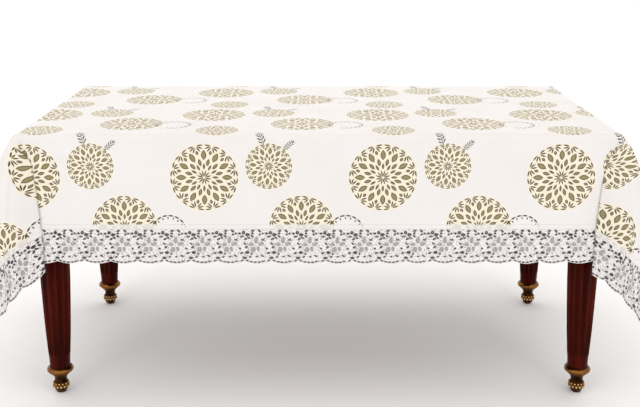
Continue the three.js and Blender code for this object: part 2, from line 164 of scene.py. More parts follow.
def corner_table():
    """A corner's front half as tables of place, by hem coordinate and share of the way to the hem."""
    t, share = HEM_T[:, None], np.linspace(0, 1, SHARES + 1)[None, :]
    start_x, start_y = fold_start(t)
    flat_x, flat_y = t - CORNER_START - start_x, OVERHANG - start_y
    length = np.hypot(flat_x, flat_y)
    path = share * length
    rate = np.interp(t, BEND_AT, BEND)
    way = (1 - np.exp(-rate * share)) / (1 - np.exp(-rate))
    bend = (1 - np.exp(-BEND[-1] * share)) / (1 - math.exp(-BEND[-1]))
    folded_x = start_x + way * (HEM_X[:, None] - start_x)
    folded_y = start_y + way * (HEM_Y[:, None] - start_y)
    # the same cloth with no hidden fold: it turns smoothly from the skirt to the ridge
    tip_start = CORNER_R * (math.sqrt(0.5) - 1)
    ridge = tip_start + (HEM_X[-1] - tip_start) * bend
    past_skirt = start_x + share * flat_x + CORNER_R
    whole = tip_start + (OVERHANG - tip_start) * np.minimum(path / length[-1], 1) + CORNER_R
    f = np.clip(past_skirt / whole, 0, 1)
    handle = ROUNDING * np.hypot(ridge + CORNER_R, ridge)
    lean = handle * math.sqrt(0.5)
    weights = ((1 - f) ** 3, 3 * f * (1 - f) ** 2, 3 * f * f * (1 - f), f**3)
    open_x = sum(w * c for w, c in zip(weights, (-CORNER_R, handle - CORNER_R, ridge - lean, ridge)))
    open_y = sum(w * c for w, c in zip(weights, (0, 0, ridge + lean, ridge)))
    open_x = np.where(past_skirt < 0, past_skirt - CORNER_R, open_x)
    open_x = open_x - open_x[:, :1] + start_x
    open_y = open_y - open_y[:, :1] + start_y
    fold = smooth((path - FOLD_FROM) / FOLD_OVER)
    pleat = np.cos(2 * np.pi * (CORNER_SPAN - t) / PLEAT_STEP) - 1
    pleat = PLEAT_DEEP / 2 * pleat * smooth((t - PLEAT_FROM) / PLEAT_OVER) * share**2
    x = open_x + (folded_x - open_x) * fold + pleat
    y = open_y + (folded_y - open_y) * fold + pleat
    moved = np.hypot(np.diff(x, axis=1), np.diff(y, axis=1))
    fall = np.sqrt(np.maximum(np.diff(path, axis=1) ** 2 - moved**2, 0))
    steep = fall[:, 0] / path[:, 1]
    fall = np.concatenate([np.zeros_like(t), np.cumsum(fall, axis=1)], axis=1)
    give = 1 + (STRETCH - 1) * smooth((t - STRETCH_FROM) / STRETCH_OVER) * share
    return x, y, fall * give, steep


CORNER_X, CORNER_Y, CORNER_FALL, CORNER_STEEP = corner_table()


def look_up(table, t, share):
    """A corner table between its entries."""
    i, j = t / HEM_T[1], share * SHARES
    i0 = np.clip(i.astype(int), 0, len(HEM_T) - 2)
    j0 = np.clip(j.astype(int), 0, SHARES - 1)
    a, b = i - i0, j - j0
    low = table[i0, j0] * (1 - b) + table[i0, j0 + 1] * b
    high = table[i0 + 1, j0] * (1 - b) + table[i0 + 1, j0 + 1] * b
    return low * (1 - a) + high * a


def corner_point(p, q):
    """The front half of a corner: flat cloth (p, q) past the table's corner to a place in the room."""
    t = fold_line_of(p, q)
    start_x, start_y = fold_start(t)
    flat_x, flat_y = t - CORNER_START - start_x, OVERHANG - start_y
    length = np.hypot(flat_x, flat_y)
    share = np.clip(((p - start_x) * flat_x + (q - start_y) * flat_y) / length**2, 0, 1)
    path = np.maximum(share * length, 1e-6)
    steep = np.interp(t, HEM_T, CORNER_STEEP)
    tuck = inset(path) * steep
    turn = math.pi / 4 * t / CORNER_SPAN
    x = look_up(CORNER_X, t, share) + tuck * np.sin(turn)
    y = look_up(CORNER_Y, t, share) + tuck * np.cos(turn)
    fall = np.where(path < EDGE_R / 2, steep * path, look_up(CORNER_FALL, t, share))
    return x, y, -drop(path) * fall / path


def skirt_wave(along, half, down):
    """How far a hanging skirt stands out: soft waves, and faint creases that fan out from its ends."""
    wave = 0.55 + 0.45 * np.sin(along * 9.1 + 1.3) * np.cos(along * 4.3 - 0.4)
    wave = WAVE_DEEP * wave * smooth(down / OVERHANG) * smooth((half - 0.06 - np.abs(along)) / 0.3)
    aside = half - np.abs(along)
    lean = np.arctan2(aside, np.maximum(down, 1e-6))
    reach = np.hypot(aside, down)
    window = smooth((lean - 0.18) / 0.25) * smooth((1.45 - lean) / 0.3)
    window = window * smooth(reach / 0.16) * smooth((0.62 - reach) / 0.34)
    return wave + CREASE_DEEP * (0.5 + 0.5 * np.sin(lean * 13 + along * 2)) * window


def drape(u, v):
    """Flat cloth (u, v) to its place on the table, as three arrays."""
    u, v = np.asarray(u, float), np.asarray(v, float)
    side_u, side_v = np.where(u < 0, -1.0, 1.0), np.where(v < 0, -1.0, 1.0)
    p, q = np.abs(u) - HALF_L, np.abs(v) - HALF_W
    # the top and the straight skirts
    wave_y = skirt_wave(u, HALF_L, np.maximum(q, 0)) * (q > 0)
    wave_x = skirt_wave(v, HALF_W, np.maximum(p, 0)) * (p > 0)
    x = inset(p) + wave_x
    y = inset(q) + wave_y
    z = -drop(p) - drop(q)
    # the rounded corner of the table
    from_x, from_y = p + CORNER_R, q + CORNER_R
    reach = np.hypot(from_x, from_y)
    turning = (from_x > 0) & (from_y > 0)
    inner = turning & (reach < CORNER_R)
    safe = np.maximum(reach, 1e-9)
    turn = np.arctan2(np.minimum(from_x, from_y), np.maximum(from_x, from_y))
    steep = np.interp(turn / (math.pi / 4) * CORNER_SPAN, HEM_T, CORNER_STEEP)
    pulled = reach + (inset(reach - CORNER_R) - (reach - CORNER_R)) * steep
    x = np.where(inner, pulled * from_x / safe - CORNER_R, x)
    y = np.where(inner, pulled * from_y / safe - CORNER_R, y)
    z = np.where(inner, -drop(reach - CORNER_R) * steep, z)
    # the folds and the flare outside it, the front half and the end half alike
    slant = (CORNER_START - CORNER_R) / OVERHANG
    for near, far, front in ((p, q, True), (q, p, False)):
        zone = (far > 0) & (near > -CORNER_R - far * slant) & (near <= far) & ~inner
        if not zone.any():
            continue
        a, b, c = corner_point(near[zone], far[zone])
        x[zone], y[zone], z[zone] = (a, b, c) if front else (b, a, c)
    return side_u * (HALF_L + LIFT + x), side_v * (HALF_W + LIFT + y), TOP_Z + LIFT + z


def drape_normal(u, v):
    """The drape's outward normal, from points a little to each side."""
    e = 0.0006
    ahead, back = np.array(drape(u + e, v)), np.array(drape(u - e, v))
    up, down = np.array(drape(u, v + e)), np.array(drape(u, v - e))
    n = np.cross(ahead - back, up - down, axis=0)
    return n / np.maximum(np.linalg.norm(n, axis=0), 1e-12)


# ---------------------------------------------------------------- meshes and pieces


def mesh_piece(name, points, faces, body, material, flat=None, tone=None):
    """A smooth mesh object that rides on a body, with its flat-cloth coordinates and tone if given."""
    mesh = bpy.data.meshes.new(name)
    mesh.from_pydata([tuple(map(float, p)) for p in points], [], [tuple(map(int, f)) for f in faces])
    mesh.validate()
    mesh.polygons.foreach_set("use_smooth", np.ones(len(mesh.polygons), bool))
    if flat is not None:
        corners = np.zeros(len(mesh.loops), np.int32)
        mesh.loops.foreach_get("vertex_index", corners)
        layer = mesh.uv_layers.new(name="flat")
        layer.data.foreach_set("uv", np.asarray(flat, np.float32)[corners].ravel())
    if tone is not None:
        layer = mesh.attributes.new("tone", "FLOAT", "POINT")
        layer.data.foreach_set("value", np.asarray(tone, np.float32))
    mesh.materials.append(material)
    piece = bpy.data.objects.new(name, mesh)
    bpy.context.scene.collection.objects.link(piece)
    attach(piece, body)
    return piece


def draped_piece(name, flat, faces, lift, material, tone=None):
    """A piece of the cloth at its place in the drape, raised by lift, with its faces turned outward."""
    u, v = flat.T
    points = np.array(drape(u, v)) + drape_normal(u, v) * lift
    return mesh_piece(name, points.T, turned_up(flat, faces), "tablecloth", material, flat, tone)


def turned_up(flat, faces):
    """The faces, each one running anticlockwise in the flat cloth."""
    u, v = flat.T.tolist()
    turned = []
    for face in faces:
        area = sum(u[a] * v[b] - u[b] * v[a] for a, b in zip(face, face[1:] + face[:1]))
        turned.append(face if area > 0 else face[::-1])
    return turned


def welded(flat, faces, per_metre):
    """Points at the same place made one: the kept points' numbers, and the faces that keep an area."""
    keys = np.round(flat * per_metre).astype(np.int64)
    _, first, index = np.unique(keys, axis=0, return_index=True, return_inverse=True)
    index = index.ravel().tolist()
    kept = []
    for face in faces:
        ids = [index[i] for i in face]
        ids = [a for a, b in zip(ids, ids[1:] + ids[:1]) if a != b]
        if len(set(ids)) > 2:
            kept.append(ids)
    return first, kept


def grid_faces(rows, wide, first=0):
    """The quads of a grid of points, row by row."""
    corners = [first + j * wide + i for j in range(rows - 1) for i in range(wide - 1)]
    return [(a, a + 1, a + wide + 1, a + wide) for a in corners]


def ring_faces(rings, count, first=0):
    """The quads between closed rings of points."""
    faces = []
    for low in range(first, first + (rings - 1) * count, count):
        for i in range(count):
            k = (i + 1) % count
            faces.append((low + i, low + k, low + count + k, low + count + i))
    return faces


def shell_faces(rings, count, first=0):
    """The quads between closed rings of points, with a cap at both ends."""
    bottom = tuple(first + i for i in reversed(range(count)))
    top = tuple(first + (rings - 1) * count + i for i in range(count))
    return [*ring_faces(rings, count, first), bottom, top]


def thicken(piece, thickness, offset, underside=0):
    modifier = piece.modifiers.new("thickness", "SOLIDIFY")
    modifier.thickness = thickness
    modifier.offset = offset
    modifier.material_offset = underside


# ---------------------------------------------------------------- materials


class Shade:
    """One material or node group being wired up: each call adds a node and returns its output."""

    def __init__(self, tree):
        self.tree = tree

    def feed(self, socket, value):
        """Gives a socket another node's output or a plain value."""
        if isinstance(value, bpy.types.NodeSocket):
            self.tree.links.new(value, socket)
        else:
            socket.default_value = value

    def node(self, kind, inputs=None, output=0, **settings):
        made = self.tree.nodes.new("ShaderNode" + kind)
        for name, value in settings.items():
            setattr(made, name, value)
        for name, value in (inputs or {}).items():
            self.feed(made.inputs[name], value)
        return made.outputs[output]

    def flat(self):
        """Where a point lies in the flat cloth."""
        return self.node("UVMap", uv_map="flat")

    def place(self):
        """Where a point lies in its object."""
        return self.node("TexCoord", output=3)

    def tone(self):
        """The piece's light and dark, from its tone attribute: its own colour, with painted shade and
        painted highlight on some pieces.
        """
        return self.node("Attribute", attribute_name="tone", output=2)

    def split(self, vector):
        """A vector's x, y and z."""
        made = self.tree.nodes.new("ShaderNodeSeparateXYZ")
        self.tree.links.new(vector, made.inputs[0])
        return made.outputs

    def math(self, operation, a, b=0.0, c=0.0, clamp=False):
        return self.node("Math", {0: a, 1: b, 2: c}, operation=operation, use_clamp=clamp)

    def times(self, a, b):
        return self.math("MULTIPLY", a, b)

    def times_plus(self, a, b, c, clamp=False):
        return self.math("MULTIPLY_ADD", a, b, c, clamp)

    def minus(self, a, b):
        return self.math("SUBTRACT", a, b)

    def size(self, a):
        return self.math("ABSOLUTE", a)

    def ramp(self, value, low, high, out_low=0.0, out_high=1.0):
        """A smooth step from one level to another."""
        return self.node(
            "MapRange",
            {"Value": value, "From Min": low, "From Max": high, "To Min": out_low, "To Max": out_high},
            interpolation_type="SMOOTHSTEP",
        )

    def mix(self, share, a, b):
        """From colour a to colour b."""
        made = self.tree.nodes.new("ShaderNodeMix")
        made.data_type = "RGBA"
        for socket, value in ((0, share), (6, a), (7, b)):
            self.feed(made.inputs[socket], value)
        return made.outputs[2]

    def noise(self, vector, scale, detail=2.0, rough=0.5):
        inputs = {"Vector": vector, "Scale": scale, "Detail": detail, "Roughness": rough}
        return self.node("TexNoise", inputs)

    def waves(self, vector, scale, direction, distortion=0.0):
        inputs = {"Vector": vector, "Scale": scale, "Distortion": distortion}
        return self.node("TexWave", inputs, bands_direction=direction, output=1)

    def scaled(self, vector, scale):
        return self.node("Mapping", {"Vector": vector, "Scale": scale})

    def bump(self, height, strength, distance):
        return self.node("Bump", {"Height": height, "Strength": strength, "Distance": distance})


def new_material(name, **constants):
    """A material with a Principled shader: returns it, its tree's Shade and the shader."""
    material = bpy.data.materials.new(name)
    material.use_nodes = True
    tree = material.node_tree
    shader = tree.nodes["Principled BSDF"]
    for socket, value in constants.items():
        shader.inputs[socket.replace("_", " ")].default_value = value
    return material, Shade(tree), shader


def link(shade, shader, **sockets):
    for name, value in sockets.items():
        shade.tree.links.new(value, shader.inputs[name.replace("_", " ")])


def rgb(code):
    """A hex colour as linear red, green, blue and alpha."""
    parts = [int(code[i : i + 2], 16) / 255 for i in (0, 2, 4)]
    return tuple(c / 12.92 if c <= 0.04045 else ((c + 0.055) / 1.055) ** 2.4 for c in parts) + (1.0,)


def new_group(name, outputs):
    """A node group that takes a vector: its Shade, and the vector's x and y."""
    tree = bpy.data.node_groups.new(name, "ShaderNodeTree")
    tree.interface.new_socket("Vector", in_out="INPUT", socket_type="NodeSocketVector")
    for output in outputs:
        tree.interface.new_socket(output, in_out="OUTPUT", socket_type="NodeSocketFloat")
    shade = Shade(tree)
    x, y, _ = shade.split(tree.nodes.new("NodeGroupInput").outputs[0])
    return shade, x, y


def close_group(shade, values):
    end = shade.tree.nodes.new("NodeGroupOutput")
    for i, value in enumerate(values):
        shade.tree.links.new(value, end.inputs[i])
    return shade.tree


def polar(shade, x, y):
    radius = shade.math("SQRT", shade.times_plus(x, x, shade.times(y, y)))
    return radius, shade.math("ARCTAN2", y, x)


def wrapped(shade, value, cell, offset):
    """The value measured from the middle of its cell; offset moves the cells by a share of one."""
    turns = shade.times_plus(value, 1 / cell, offset + 0.5)
    return shade.times(shade.minus(shade.math("FRACT", turns), 0.5), cell)


def leaf(shade, along, across, middle, half_length, half_width):
    """Above zero inside a pointed leaf that lies along the first coordinate."""
    reach = shade.times_plus(along, 1 / half_length, -middle / half_length)
    body = shade.times_plus(shade.times(reach, reach), -half_width, half_width)
    return shade.minus(body, shade.size(across))


def widest(shade, values):
    best = values[0]
    for value in values[1:]:
        best = shade.math("MAXIMUM", best, value)
    return best


PETALS = 12
# The medallion's rings of petals: middle, half length and half width in radii, and turn in petals.
PETAL_RINGS = [
    (0.128, 0.100, 0.020, 0.5),
    (0.335, 0.095, 0.035, 0.0),
    (0.465, 0.115, 0.051, 0.5),
    (0.680, 0.155, 0.077, 0.0),
    (0.765, 0.068, 0.043, 0.5),
]
FAN_ROOT = 0.980  # how far from the middle the fans' strokes start
FAN_STEP = math.radians(28)
INK_EDGE = 0.004  # half the width over which a medallion's ink fades out


def medallion_group():
    """A round medallion of petals, of radius 1: its ink, its filled disc and the petals' pale middles."""
    shade, x, y = new_group("medallion", ["ink", "disc", "pale"])
    radius, angle = polar(shade, x, y)
    cell = 2 * math.pi / PETALS
    petals = []
    for middle, half_length, half_width, turn in PETAL_RINGS:
        across = shade.times(radius, wrapped(shade, angle, cell, turn))
        petals.append(leaf(shade, radius, across, middle, half_length, half_width))
    pale = shade.ramp(widest(shade, petals), 0.018, 0.029)
    # fans of six strokes from points on the rim: the outer two run along it
    turned = wrapped(shade, angle, cell, 0.5)
    inward = shade.minus(FAN_ROOT, shade.times(radius, shade.math("COSINE", turned)))
    aside = shade.times(radius, shade.math("SINE", turned))
    reach, lean = polar(shade, inward, aside)
    across = shade.times(reach, wrapped(shade, lean, FAN_STEP, 0.0))
    stroke = leaf(shade, reach, across, 0.143, 0.097, 0.022)
    off_middle = shade.size(shade.minus(shade.size(lean), 2 * FAN_STEP))
    within = shade.minus(1.5 * FAN_STEP, off_middle)
    petals.append(shade.math("MINIMUM", stroke, shade.times(within, 0.1)))
    ink = shade.ramp(widest(shade, petals), -INK_EDGE, INK_EDGE)
    scallops = shade.math("COSINE", shade.times(angle, PETALS))
    rim = shade.times_plus(scallops, -0.014, 1.03)
    disc = shade.ramp(shade.minus(rim, radius), -INK_EDGE, INK_EDGE)
    return close_group(shade, [ink, disc, pale])


def garland_group():
    """An open ring of small leaves laid along it, with short strokes inside it, of radius 1."""
    shade, x, y = new_group("garland", ["ink"])
    radius, angle = polar(shade, x, y)
    cell = math.radians(20)
    along = shade.times(radius, wrapped(shade, angle, cell, 0.0))
    across = shade.times(radius, wrapped(shade, angle, cell, 0.5))
    leaves = leaf(shade, along, shade.minus(radius, 0.93), 0.0, 0.15, 0.045)
    strokes = leaf(shade, radius, across, 0.80, 0.075, 0.035)
    ink = shade.ramp(widest(shade, [leaves, strokes]), -0.006, 0.006)
    opening = shade.ramp(shade.size(shade.math("ADD", angle, 1.9)), 0.28, 0.34)
    return close_group(shade, [shade.times(ink, opening)])


def sprig_group():
    """A leaning stem with pairs of leaves, one unit tall from the origin."""
    shade, x, y = new_group("sprig", ["ink"])
    bend = shade.times(shade.times(y, y), 0.12)
    across = shade.minus(x, bend)
    side = shade.size(across)
    ends = shade.minus(0.5, shade.size(shade.minus(y, 0.5)))
    stem = shade.math("MINIMUM", shade.minus(0.018, side), ends)
    climb = shade.minus(y, shade.times(side, 0.8))
    local = wrapped(shade, climb, 0.2, -0.5)
    leaves = leaf(shade, side, local, 0.13, 0.11, 0.055)
    leafy = shade.minus(0.42, shade.size(shade.minus(climb, 0.48)))
    leaves = shade.math("MINIMUM", leaves, leafy)
    tip = leaf(shade, y, across, 1.0, 0.14, 0.06)
    ink = shade.ramp(widest(shade, [stem, leaves, tip]), -0.008, 0.008)
    return close_group(shade, [ink])


# The print's motifs: group, place from the large medallion, radius or height, and turn.
MOTIFS = [
    ("medallion", 0.0, 0.0, 0.089, 0.0),
    ("medallion", 0.170, 0.030, 0.061, 0.1),
    ("medallion", 0.255, -0.135, 0.085, 0.0),
    ("medallion", 0.030, 0.172, 0.057, 0.2),
    ("garland", 0.372, -0.150, 0.050, 0.3),
    ("sprig", 0.158, 0.088, 0.046, -0.45),
    ("sprig", 0.210, 0.074, 0.032, 0.70),
]


def print_pattern(shade, groups):
    """The cloth's print from its flat coordinates: the ink, the filled discs and the pale middles."""
    u, v, _ = shade.split(shade.flat())
    found = {"ink": [], "disc": [], "pale": []}
    for kind, du, dv, size, turn in MOTIFS:
        near_u = wrapped(shade, u, PRINT_STEP_U, -(PRINT_U + du) / PRINT_STEP_U)
        near_v = wrapped(shade, v, PRINT_STEP_V, -(PRINT_V + dv) / PRINT_STEP_V)
        near = {0: shade.times(near_u, 1 / size), 1: shade.times(near_v, 1 / size)}
        place = shade.node("CombineXYZ", near)
        place = shade.node("VectorRotate", {"Vector": place, "Angle": turn}, rotation_type="Z_AXIS")
        motif = shade.tree.nodes.new("ShaderNodeGroup")
        motif.node_tree = groups[kind]
        shade.tree.links.new(place, motif.inputs[0])
        for output in motif.outputs:
            found[output.name].append(output)
    return [widest(shade, outputs) for outputs in found.values()]


def oilcloth_material(groups, name, ground, print_share):
    """Printed vinyl: a pearly ground, cream medallions and a muted gold print."""
    gloss = {"Specular_IOR_Level": 0.02, "Coat_Weight": 0.12, "Coat_Roughness": 0.16}
    material, shade, shader = new_material(name, **gloss)
    ink, disc, pale = print_pattern(shade, groups)
    flat = shade.flat()
    cloud = shade.noise(flat, scale=7.0, detail=3.0)
    speckle = shade.noise(flat, scale=900.0, detail=1.0)
    ripple = shade.noise(flat, scale=9.0)
    colour = shade.mix(cloud, rgb(ground), rgb("dcdad9"))
    colour = shade.mix(shade.times(disc, 0.95 * print_share), colour, rgb("e6dfcc"))
    gold = shade.mix(shade.times(pale, 0.85), rgb("483f2b"), rgb("958c69"))
    gold = shade.mix(shade.ramp(speckle, 0.3, 0.7, 0.0, 0.2), gold, rgb("9c926c"))
    colour = shade.mix(shade.times(ink, print_share), colour, gold)
    # a fine embossed weave, the print's own relief and the soft ripples of folded vinyl
    weave = shade.times(shade.waves(flat, 260.0, "X"), shade.waves(flat, 260.0, "Y"))
    height = shade.times_plus(weave, 0.00004, shade.times(ripple, 0.004))
    height = shade.times_plus(ink, 0.00006, height)
    roughness = shade.ramp(ripple, 0.2, 0.8, 0.24, 0.36)
    link(shade, shader, Base_Color=colour, Roughness=roughness, Normal=shade.bump(height, 0.8, 1.0))
    return material


def underside_material():
    """The cloth's flannel backing, white on the real cloth, painted grey as shade for what shows through the
    lace's holes.
    """
    material, shade, shader = new_material("flannel_backing", Roughness=0.9, Sheen_Weight=0.4)
    fibres = shade.noise(shade.place(), scale=900.0, detail=3.0, rough=0.7)
    # painted shade: a grey in place of the backing's white
    colour = shade.mix(fibres, rgb("97928d"), rgb("b0aca7"))
    link(shade, shader, Base_Color=colour, Normal=shade.bump(fibres, 0.4, 0.0006))
    return material


def lace_material():
    """Polyester lace: white cords and edges, a greyer net between them, and near-black painted shade round
    the cut holes.
    """
    material, shade, shader = new_material("lace_thread", Roughness=0.5, Sheen_Weight=0.3)
    tone = shade.tone()
    flat = shade.flat()
    threads = shade.waves(flat, 330.0, "DIAGONAL", distortion=1.5)
    net = {"Vector": flat, "Scale": 125.0, "Randomness": 0.9}
    edge = shade.node("TexVoronoi", net, feature="DISTANCE_TO_EDGE")
    web = shade.times(shade.ramp(edge, 0.04, 0.16, 0.85, 0.0), shade.ramp(tone, 0.13, 0.3))
    white = shade.math("MAXIMUM", shade.ramp(tone, 0.0, 1.0), web)
    colour = shade.mix(white, rgb("989196"), rgb("f2f0f0"))
    colour = shade.mix(shade.times(threads, 0.12), colour, rgb("a8a1a5"))
    # painted shade: below zero the tone paints the lace near black round each cut hole, as the shadow seen
    # through it
    colour = shade.mix(shade.ramp(tone, -0.9, -0.1, 1.0, 0.0), colour, rgb("221e1f"))
    link(shade, shader, Base_Color=colour, Normal=shade.bump(threads, 0.5, 0.0004))
    return material


def thread_material():
    """White sewing thread, faintly pink, with its twist."""
    material, shade, shader = new_material("sewing_thread", Roughness=0.55, Sheen_Weight=0.2)
    twist = shade.waves(shade.place(), 600.0, "DIAGONAL")
    colour = shade.mix(twist, rgb("cfc5c6"), rgb("dfdadb"))
    link(shade, shader, Base_Color=colour, Normal=shade.bump(twist, 0.3, 0.0002))
    return material


def wood_material(name, dark, light, painted_shade=False):
    """Lacquered wood with its grain along Z; the legs' wood is darker where its tone is low: painted shade
    in the flutes' hollows, and darker towards the foot.
    """
    material, shade, shader = new_material(name, Specular_IOR_Level=0.04)
    place = shade.place()
    streaks = shade.noise(shade.scaled(place, (42, 42, 2.2)), scale=1.0, detail=6.0, rough=0.6)
    pores = shade.noise(shade.scaled(place, (700, 700, 26)), scale=1.0)
    colour = shade.mix(shade.ramp(streaks, 0.3, 0.7), rgb(dark), rgb(light))
    colour = shade.mix(shade.ramp(pores, 0.58, 0.72, 0.0, 0.5), colour, rgb("1c0503"))
    if painted_shade:
        # painted shade: the legs are painted darker in the flutes' hollows and towards the foot
        colour = shade.mix(shade.tone(), rgb("140201"), colour)
    roughness = shade.ramp(streaks, 0.2, 0.8, 0.22, 0.34)
    height = shade.times(pores, 0.0002)
    link(shade, shader, Base_Color=colour, Roughness=roughness, Normal=shade.bump(height, 0.5, 1.0))
    return material


def brass_material():
    """Antique brass: bright where it is rubbed, brown in the hollows, darker where its tone is low, and
    painted pale as a highlight where its tone runs above one, on the beads' outer tips.
    """
    material, shade, shader = new_material("antique_brass", Metallic=1.0)
    tone = shade.tone()
    place = shade.place()
    patches = shade.noise(place, scale=60.0, detail=4.0, rough=0.6)
    scratches = shade.noise(place, scale=500.0)
    lightness = shade.times_plus(patches, 0.7, shade.minus(tone, 0.35), clamp=True)
    colour = shade.mix(lightness, rgb("140904"), rgb("855829"))
    # painted highlight: pale gold on the beads' outer tips, where the tone runs above one
    colour = shade.mix(shade.ramp(tone, 1.0, 1.2), colour, rgb("f0c98a"))
    roughness = shade.ramp(lightness, 0.0, 1.0, 0.5, 0.24)
    normal = shade.bump(scratches, 0.15, 0.0006)
    link(shade, shader, Base_Color=colour, Roughness=roughness, Normal=normal)
    return material


def steel_material():
    """Bright zinc plate with faint spangle."""
    material, shade, shader = new_material("zinc_steel", Metallic=1.0)
    spangle = shade.node("TexVoronoi", {"Vector": shade.place(), "Scale": 320.0})
    colour = shade.mix(spangle, rgb("a9adb0"), rgb("cfd3d6"))
    roughness = shade.ramp(spangle, 0.0, 0.8, 0.28, 0.45)
    link(shade, shader, Base_Color=colour, Roughness=roughness)
    return material


def dress_nodes(material, names):
    """Gives CAD nodes a finished material in place of their plain one."""
    for name in names:
        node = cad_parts[name]
        if not node.material_slots:
            node.data.materials.append(material)
        for place in node.material_slots:
            place.material = material


# ---------------------------------------------------------------- the printed cloth


def both_ways(half):
    """Values from minus to plus, from the half that starts at the middle."""
    half = np.asarray(half)
    return np.concatenate([-half[:0:-1], half])


def corner_columns():
    """Hem coordinates of a corner's columns, close together at the folds."""
    return np.concatenate(
        [
            np.arange(0.0, 0.070, 0.010),
            np.arange(0.070, 0.090, 0.0015),
            np.arange(0.090, 0.150, 0.010),
            np.arange(0.150, 0.172, 0.0015),
            np.linspace(0.172, CORNER_SPAN, 34),
        ]
    )


def skirt_columns(half_side, count):
    """Flat start and end of the columns of half a straight skirt, from its middle to the first fold."""
    share = np.linspace(0, 1, count, endpoint=False)
    return share * (half_side - CORNER_R), share * (half_side - CORNER_START)


def quarter_columns():
    """The flat start and hem end of each column, from the front's middle to the end's middle."""
    t = corner_columns()
    start_x, start_y = fold_start(t)
    hem_v, hem_u = np.full_like(t, HALF_V), np.full_like(t, HALF_U)
    near = np.stack([HALF_L + start_x, HALF_W + start_y, HALF_L + t - CORNER_START, hem_v], 1)
    far = np.stack([HALF_L + start_y, HALF_W + start_x, hem_u, HALF_W + t - CORNER_START], 1)
    a, b = skirt_columns(HALF_L, FRONT_COLUMNS)
    front = np.stack([a, np.full_like(a, HALF_W), b, np.full_like(a, HALF_V)], 1)
    a, b = skirt_columns(HALF_W, END_COLUMNS)
    end = np.stack([np.full_like(a, HALF_L), a, np.full_like(a, HALF_U), b], 1)
    return np.concatenate([front, near, far[-2::-1], end[:0:-1]])


def ring_columns():
    """Every column of the skirts, once round the table."""
    last = np.array([[HALF_L, 0, HALF_U, 0]])
    quarter = np.concatenate([quarter_columns(), last])
    columns = []
    for sign_u, sign_v, back in ((1, -1, False), (1, 1, True), (-1, 1, False), (-1, -1, True)):
        part = quarter * np.array([sign_u, sign_v, sign_u, sign_v])
        columns.append((part[::-1] if back else part)[:-1])
    return np.concatenate(columns)


EDGE_ROWS = (0.0035, 0.007, 0.011, 0.018)  # rows of points just past the table's edge
SKIRT_ROWS = 20


def printed_cloth(materials):
    """The printed panel: skirts whose columns are fold lines, round a flat top."""
    columns = ring_columns()
    start, end = columns[:, :2], columns[:, 2:]
    reach = end - start
    panel = np.array([HALF_U - LACE_WIDTH, HALF_V - LACE_WIDTH])
    with np.errstate(divide="ignore", invalid="ignore"):
        share = np.where(np.abs(end) > panel, (panel - np.abs(start)) / np.abs(reach), 1)
    stop = np.minimum(share.min(1), 1)[:, None]
    inner = np.array([HALF_L - CORNER_R, HALF_W - CORNER_R])
    core = np.clip(start, -inner, inner)
    rows = [core + (start - core) * s for s in (0.0, 0.4, 0.73, 0.86, 1.0)]
    length = np.linalg.norm(reach, axis=1)[:, None]
    direction = reach / length
    rows += [start + direction * d for d in EDGE_ROWS]
    for s in np.linspace(0, 1, SKIRT_ROWS)[1:]:
        rows.append(start + direction * (EDGE_ROWS[-1] + s * (stop * length - EDGE_ROWS[-1])))
    # the top, whose grid lines end on the ring's inner corners
    across = both_ways(np.append(skirt_columns(HALF_L, FRONT_COLUMNS)[0], HALF_L - CORNER_R))
    along = both_ways(np.append(skirt_columns(HALF_W, END_COLUMNS)[0], HALF_W - CORNER_R))
    grid_u, grid_v = np.meshgrid(across, along)
    faces = ring_faces(len(rows), len(columns))
    faces += grid_faces(len(along), len(across), len(rows) * len(columns))
    flat = np.concatenate([*rows, np.stack([grid_u.ravel(), grid_v.ravel()], 1)])
    first, faces = welded(flat, faces, 1e6)
    piece = draped_piece("oilcloth_panel", flat[first], faces, 0.0, materials["oilcloth"])
    piece.data.materials.append(materials["underside"])
    thicken(piece, thickness=0.0007, offset=-0.2, underside=1)
    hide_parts("printed_cloth")
    return piece


# ---------------------------------------------------------------- the lace

TILE = 76.2  # the lace's repeat as drawn, in millimetres; each side scales it to a whole number
DEEP = LACE_WIDTH * 1000
SCALLOP = 7.0
SCALLOP_AT = 56.8  # where in the tile the lowest point of a scallop is
FLOWER = (50.8, 51.0)
HEART_R = 2.2  # the flower's middle
PETAL_FROM = 3.2  # how far from the flower's middle its petals start
MITRE_RUN = 0.15  # the strips' ends are pulled in for their mitres over this length, in metres
MESH_STEP = 6.4  # the spacing of the loose points between the outlines
MESH_SHIFT = 0.9  # how far a loose point is moved off its grid at most

